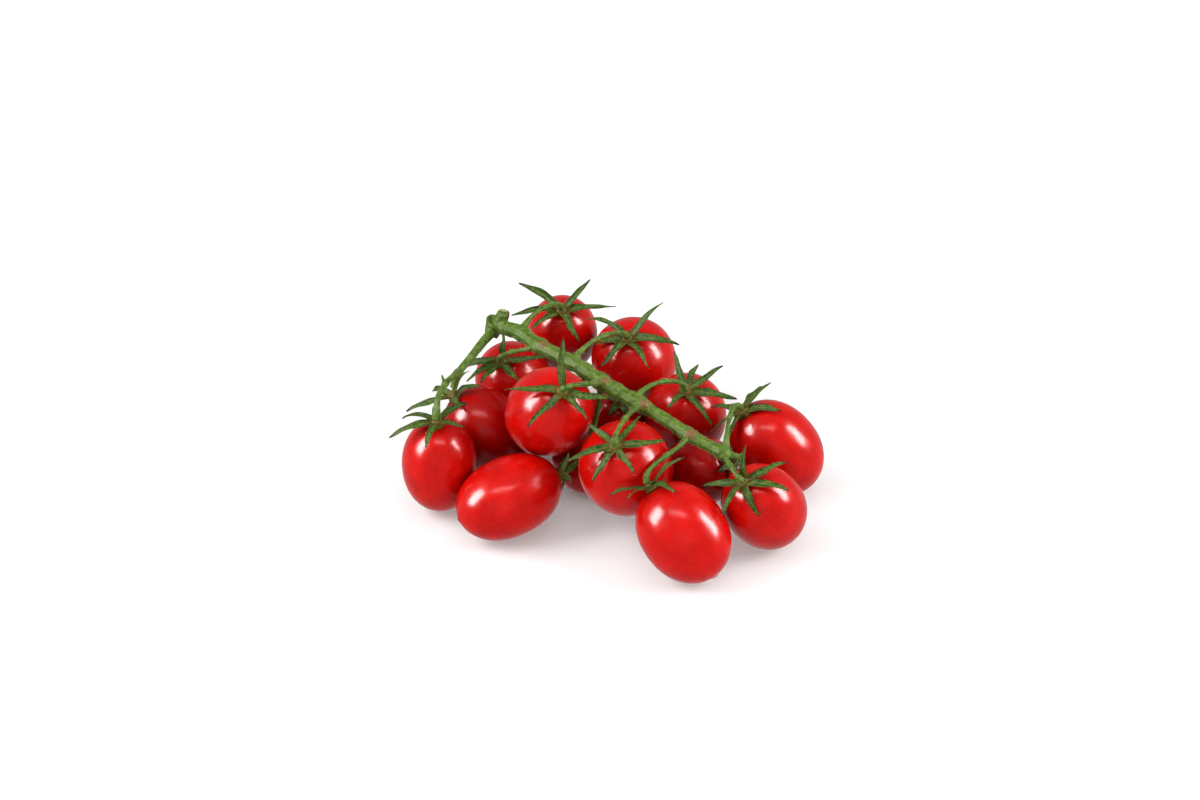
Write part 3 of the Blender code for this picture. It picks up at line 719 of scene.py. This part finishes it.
sepalPieces = {number: makeSepals(number, fruit) for number, fruit in fruits.items()}
print("sepals made")

hair = {"radius": 0.035, "lean": 0.4, "onStalk": 4200, "stalkLength": 0.7, "onSepals": 170, "sepalLength": 0.5}


def makeHairs(name, piece, count, length, seed):
    # each hair is a thin closed pyramid on three points, leaning at random off the surface
    pick = np.random.default_rng(seed)
    mesh = piece.data
    places, normals = np.empty(len(mesh.vertices) * 3), np.empty(len(mesh.vertices) * 3)
    mesh.vertices.foreach_get("co", places)
    mesh.vertices.foreach_get("normal", normals)
    chosen = pick.choice(len(mesh.vertices), count, replace=False)
    root = places.reshape(-1, 3)[chosen] / mm + middle
    up = unit(normals.reshape(-1, 3)[chosen] + pick.normal(0, hair["lean"], (count, 3)))
    side = unit(np.cross(up, pick.normal(size=(count, 3))))
    other = np.cross(up, side)
    turn = np.arange(3)[None, :, None] * math.tau / 3
    ring = np.cos(turn) * side[:, None] + np.sin(turn) * other[:, None]
    foot = (root - 0.05 * up)[:, None] + hair["radius"] * ring
    tip = root + up * length * pick.uniform(0.4, 1.2, (count, 1))
    points = np.concatenate((foot, tip[:, None]), axis=1).reshape(-1, 3)
    points[:, 2] = np.maximum(points[:, 2], 0.01)
    corners = np.array(((0, 2, 1), (0, 1, 3), (1, 2, 3), (2, 0, 3)))
    faces = (np.arange(count)[:, None, None] * 4 + corners).reshape(-1, 3).tolist()
    makePiece(name, points, faces, paleHair)


makeHairs("stalkHairs", stalkPiece, hair["onStalk"], hair["stalkLength"], 71)
for number, piece in sepalPieces.items():
    makeHairs(f"sepalHairs_{number:02d}", piece, hair["onSepals"], hair["sepalLength"], 300 + number)
print("hairs made")


# the view's degrees above the floor, its lens and distance, what it looks at and how far it is shifted, how
# bright the sky is and what is mirrored from below it, and how pale the floor is and how it glows under, near
# and far from the truss
studio = {"elevation": 34.0, "lens": 72.0, "distance": 800.0, "aim": (0.0, 0.0, 25.0), "shift": (-2.0, 13.33),
          "sky": 0.42, "below": 0.50, "floor": 0.50, "glow": (0.05, 0.22, 0.3), "glowPlace": (0.1, -0.35, 0),
          "glowScale": (22.0, 40.0, 0.0), "floorHalf": 4.0, "lightDistance": 0.75, "lightAim": 0.02}
# each light's name, the direction it stands in, its width and height in metres, its watts, and whether it is
# mirrored only, or else lights only
softLights = (
    ("leftBox", (-0.766, -0.12, 0.62), (0.5, 0.5), 5.4, False),
    ("rightBox", (0.86, -0.08, 0.50), (0.4, 0.5), 5.0, False),
    ("topBox", (-0.02, -0.2, 0.97), (0.6, 0.6), 1.5, False),
    ("frontBox", (0.05, -0.95, 0.28), (0.8, 0.4), 2.2, False),
    ("leftGlint", (-0.76, -0.25, 0.47), (0.32, 0.46), 16.5, True),
    ("rightGlint", (0.85, -0.12, 0.42), (0.21, 0.46), 10.8, True),
    ("topGlint", (-0.02, -0.46, 0.88), (0.5, 0.13), 1.8, True),
)


def addFloor():
    mesh = bpy.data.meshes.new("floor")
    half = studio["floorHalf"]
    corners = [(-half, -half, 0), (half, -half, 0), (half, half, 0), (-half, half, 0)]
    mesh.from_pydata(corners, [], [(0, 1, 2, 3)])
    material, tree, shader = newMaterial("paleFloor")
    shader.inputs["Base Color"].default_value = (*[studio["floor"]] * 3, 1)
    shader.inputs["Emission Color"].default_value = (1, 1, 1, 1)
    # painted light: the floor glows a little, with painted shade where the glow is dimmed in the gaps under the
    # truss, and it glows more far off
    under, near, far = studio["glow"]
    spread = {"Location": studio["glowPlace"], "Scale": studio["glowScale"]}
    place = put(tree, "Mapping", Vector=put(tree, "TexCoord").outputs["Object"], **spread).outputs[0]
    away = put(tree, "VectorMath", {"operation": "LENGTH"}, i0=place).outputs["Value"]
    glow = rangeOf(tree, away, 0.6, 1.2, under, near)
    glow = sums(tree, "ADD", glow, rangeOf(tree, away, 4.0, 13.0, 0.0, far))
    tree.links.new(glow, shader.inputs["Emission Strength"])
    shader.inputs["Roughness"].default_value = 0.7
    shader.inputs["Specular IOR Level"].default_value = 0.2
    mesh.materials.append(material)
    floor = bpy.data.objects.new("floor", mesh)
    floor.visible_glossy = False  # the skins would mirror it as a grey haze
    bpy.context.scene.collection.objects.link(floor)


def addSoftLight(name, direction, size, power, mirrored):
    # a rectangle that faces the middle of the truss, and either lights it or is mirrored in it
    lamp = bpy.data.lights.new(name, "AREA")
    lamp.shape = "RECTANGLE"
    lamp.size, lamp.size_y = size
    lamp.energy = power
    made = bpy.data.objects.new(name, lamp)
    place = Vector(direction).normalized() * studio["lightDistance"]
    made.location = place + Vector((0, 0, studio["lightAim"]))
    made.rotation_euler = place.to_track_quat("Z", "Y").to_euler()
    made.visible_diffuse, made.visible_glossy = not mirrored, mirrored
    bpy.context.scene.collection.objects.link(made)


def addCamera():
    lens = bpy.data.cameras.new("camera")
    lens.lens, lens.sensor_width, lens.clip_start = studio["lens"], 36.0, 0.01
    tilt = math.radians(studio["elevation"])
    forward = np.array((0, math.cos(tilt), -math.sin(tilt)))
    upward = np.array((0, math.sin(tilt), math.cos(tilt)))
    right, up = studio["shift"]
    place = np.array(studio["aim"]) - studio["distance"] * forward + right * np.array((1, 0, 0)) + up * upward
    camera = bpy.data.objects.new("camera", lens)
    camera.location = Vector((place - middle) * mm)
    camera.rotation_euler = (math.pi / 2 - tilt, 0, 0)
    bpy.context.scene.collection.objects.link(camera)
    bpy.context.scene.camera = camera


def addSky():
    world = bpy.data.worlds.new("studio")
    world.use_nodes = True
    tree = world.node_tree
    back = tree.nodes["Background"]
    height = put(tree, "SeparateXYZ", Vector=put(tree, "TexCoord").outputs["Generated"]).outputs["Z"]
    # only the skins see what is below the horizon, as they don't mirror the floor
    tree.links.new(rangeOf(tree, height, -0.25, 0.1, studio["below"], studio["sky"]), back.inputs["Strength"])
    back.inputs["Color"].default_value = (1, 1, 1, 1)
    bpy.context.scene.world = world


addFloor()
for light in softLights:
    addSoftLight(*light)
addCamera()
addSky()
bpy.context.scene.view_settings.view_transform = "Standard"
bpy.context.scene.view_settings.look = "Medium High Contrast"
print("studio made")
